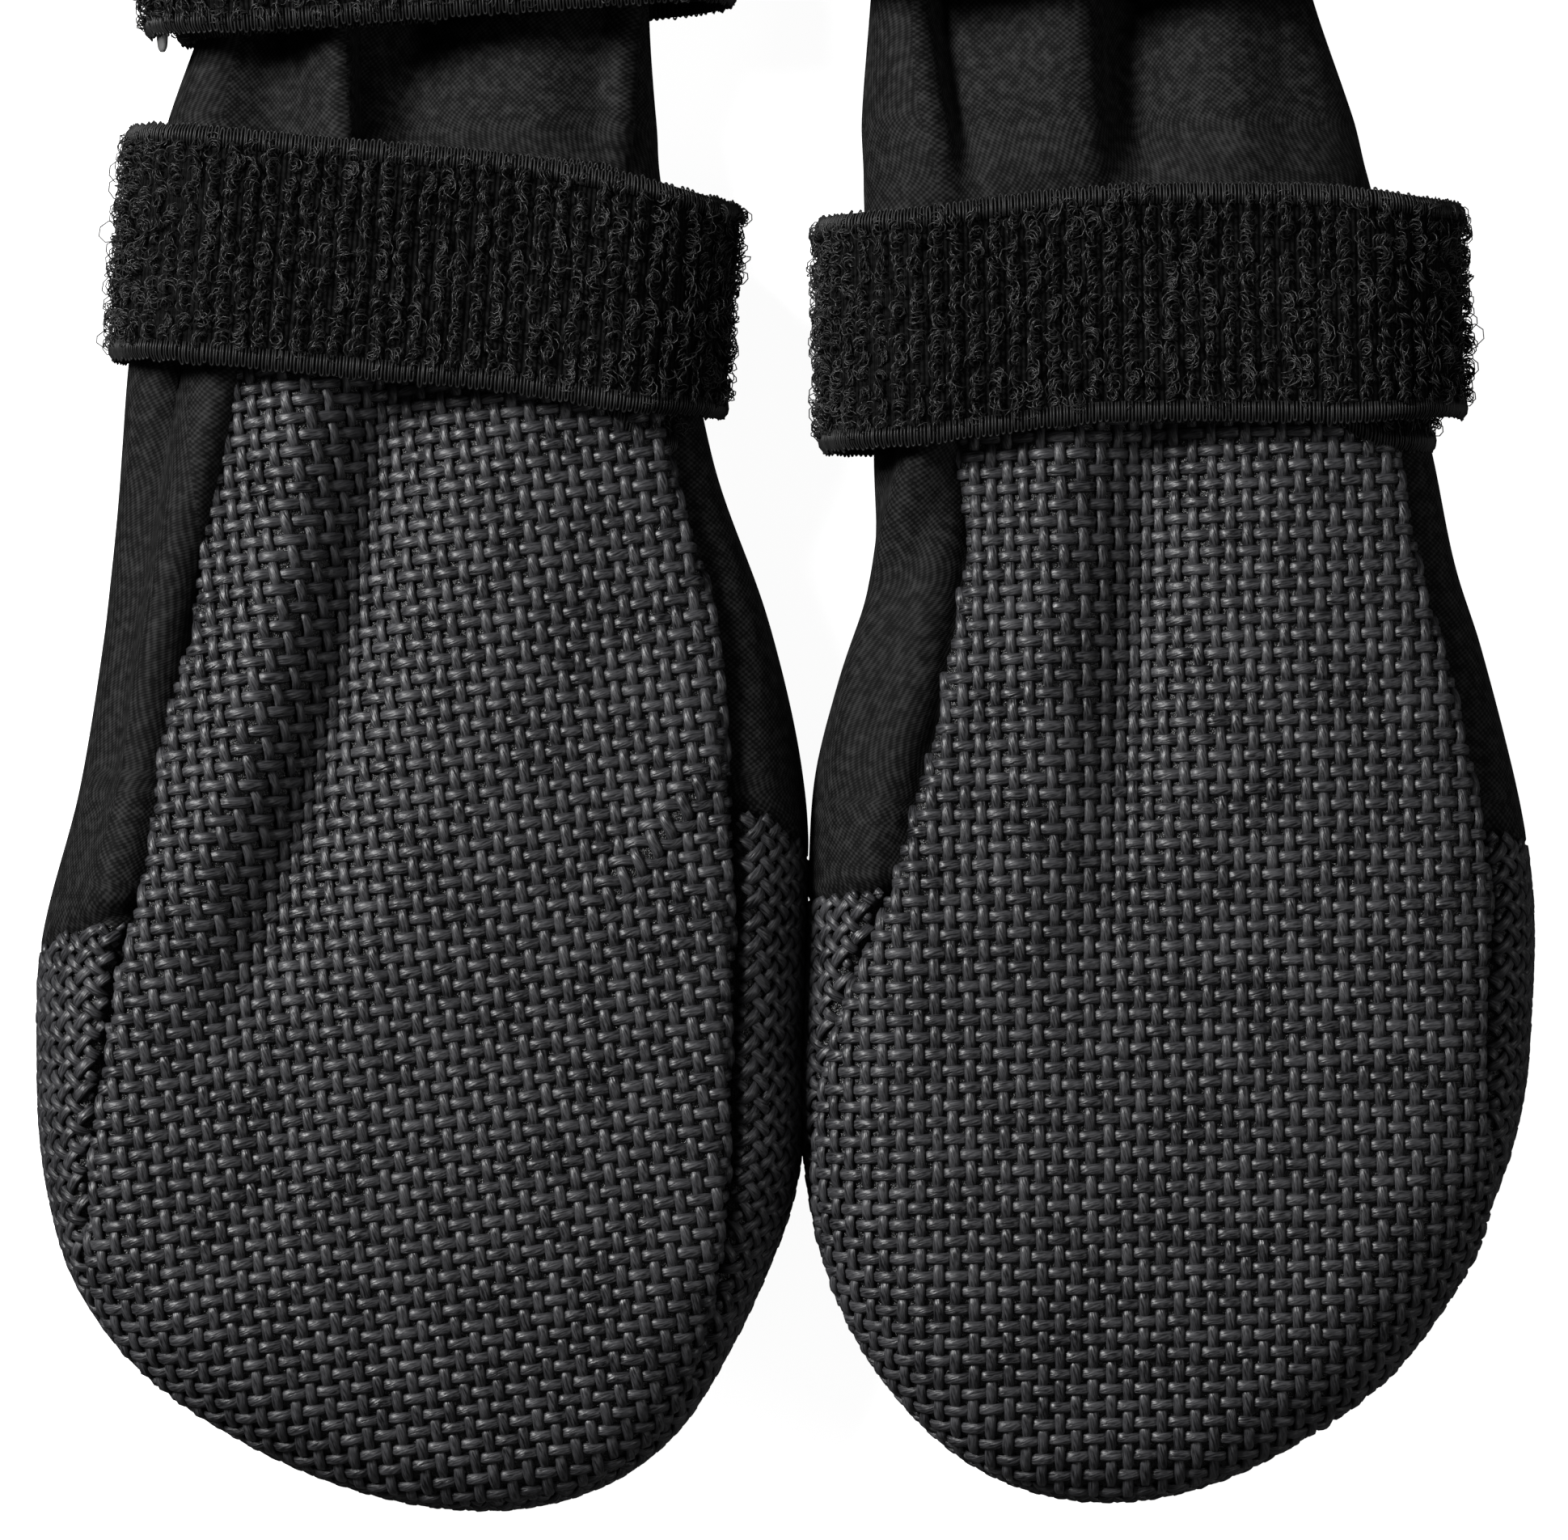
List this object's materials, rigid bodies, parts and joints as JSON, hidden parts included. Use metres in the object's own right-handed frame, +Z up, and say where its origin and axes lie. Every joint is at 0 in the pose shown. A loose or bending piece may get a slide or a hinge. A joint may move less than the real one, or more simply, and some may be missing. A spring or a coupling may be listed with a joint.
{
  "type": "pair of pet paw boots",
  "caption": "Pair of limp fabric paw boots lying sole side up, with coarse woven soles and toe caps, softshell legs and hook-and-loop straps.",
  "frame": {"origin": "middle of the pair's footprint, on the surface that the boots lie on", "axes": "+Y from the toes to the leg openings, +X across the pair to the right boot as seen from above, +Z up out of the soles"},
  "size_m": [0.1627, 0.197, 0.0269],
  "materials": {
    "coarse_cloth": "thick coated yarn, plain weave, satin",
    "softshell": "fine matte weave",
    "loop_tape": "curly unbroken loop pile with ribbed selvedges",
    "hook_tape": "translucent moulded hooks"
  },
  "bodies": {
    "left_foot": {"left_sole_panel": "coarse_cloth", "left_toe_cap": "coarse_cloth", "left_foot_upper": "softshell", "left_ankle_strap_band": "loop_tape"},
    "left_ankle_strap_end": {"left_ankle_strap_end": "loop_tape", "left_ankle_strap_hook_patch": "hook_tape"},
    "left_leg": {"left_leg_back_panel": "softshell", "left_leg_front_panel": "softshell", "left_leg_hem": "softshell", "left_cuff_strap_band": "loop_tape"},
    "left_cuff_strap_end": {"left_cuff_strap_end": "loop_tape", "left_cuff_strap_hook_patch": "hook_tape"},
    "right_foot": {"right_sole_panel": "coarse_cloth", "right_toe_cap": "coarse_cloth", "right_foot_upper": "softshell", "right_ankle_strap_band": "loop_tape"},
    "right_ankle_strap_end": {"right_ankle_strap_end": "loop_tape", "right_ankle_strap_hook_patch": "hook_tape"},
    "right_leg": {"right_leg_back_panel": "softshell", "right_leg_front_panel": "softshell", "right_leg_hem": "softshell", "right_cuff_strap_band": "loop_tape"},
    "right_cuff_strap_end": {"right_cuff_strap_end": "loop_tape", "right_cuff_strap_hook_patch": "hook_tape"}
  },
  "joints": [
    {"name": "left_ankle_strap_peel", "type": "hinge", "parent": "left_foot", "child": "left_ankle_strap_end", "pos_m": [-0.039, 0.0348, 0.0269], "axis": [-0.0872, -0.9962, 0], "range_deg": [0, 150]},
    {"name": "left_leg_bend", "type": "hinge", "parent": "left_foot", "child": "left_leg", "pos_m": [-0.039, 0.0503, 0.0122], "axis": [1, 0, 0], "range_deg": [0, 40]},
    {"name": "left_cuff_strap_peel", "type": "hinge", "parent": "left_leg", "child": "left_cuff_strap_end", "pos_m": [-0.0385, 0.075, 0.0219], "axis": [-0.0698, 0.9976, 0], "range_deg": [0, 150]},
    {"name": "right_ankle_strap_peel", "type": "hinge", "parent": "right_foot", "child": "right_ankle_strap_end", "pos_m": [0.0391, 0.0314, 0.0269], "axis": [0.0262, -0.9997, 0], "range_deg": [0, 150]},
    {"name": "right_leg_bend", "type": "hinge", "parent": "right_foot", "child": "right_leg", "pos_m": [0.0391, 0.0513, 0.0122], "axis": [1, 0, 0], "range_deg": [0, 40]},
    {"name": "right_cuff_strap_peel", "type": "hinge", "parent": "right_leg", "child": "right_cuff_strap_end", "pos_m": [0.0325, 0.079, 0.0219], "axis": [0, 1, 0], "range_deg": [0, 150]},
    {"name": "pair_apart", "type": "slide", "parent": "left_foot", "child": "right_foot", "axis": [1, 0, 0], "range_m": [0, 0.06]}
  ]
}
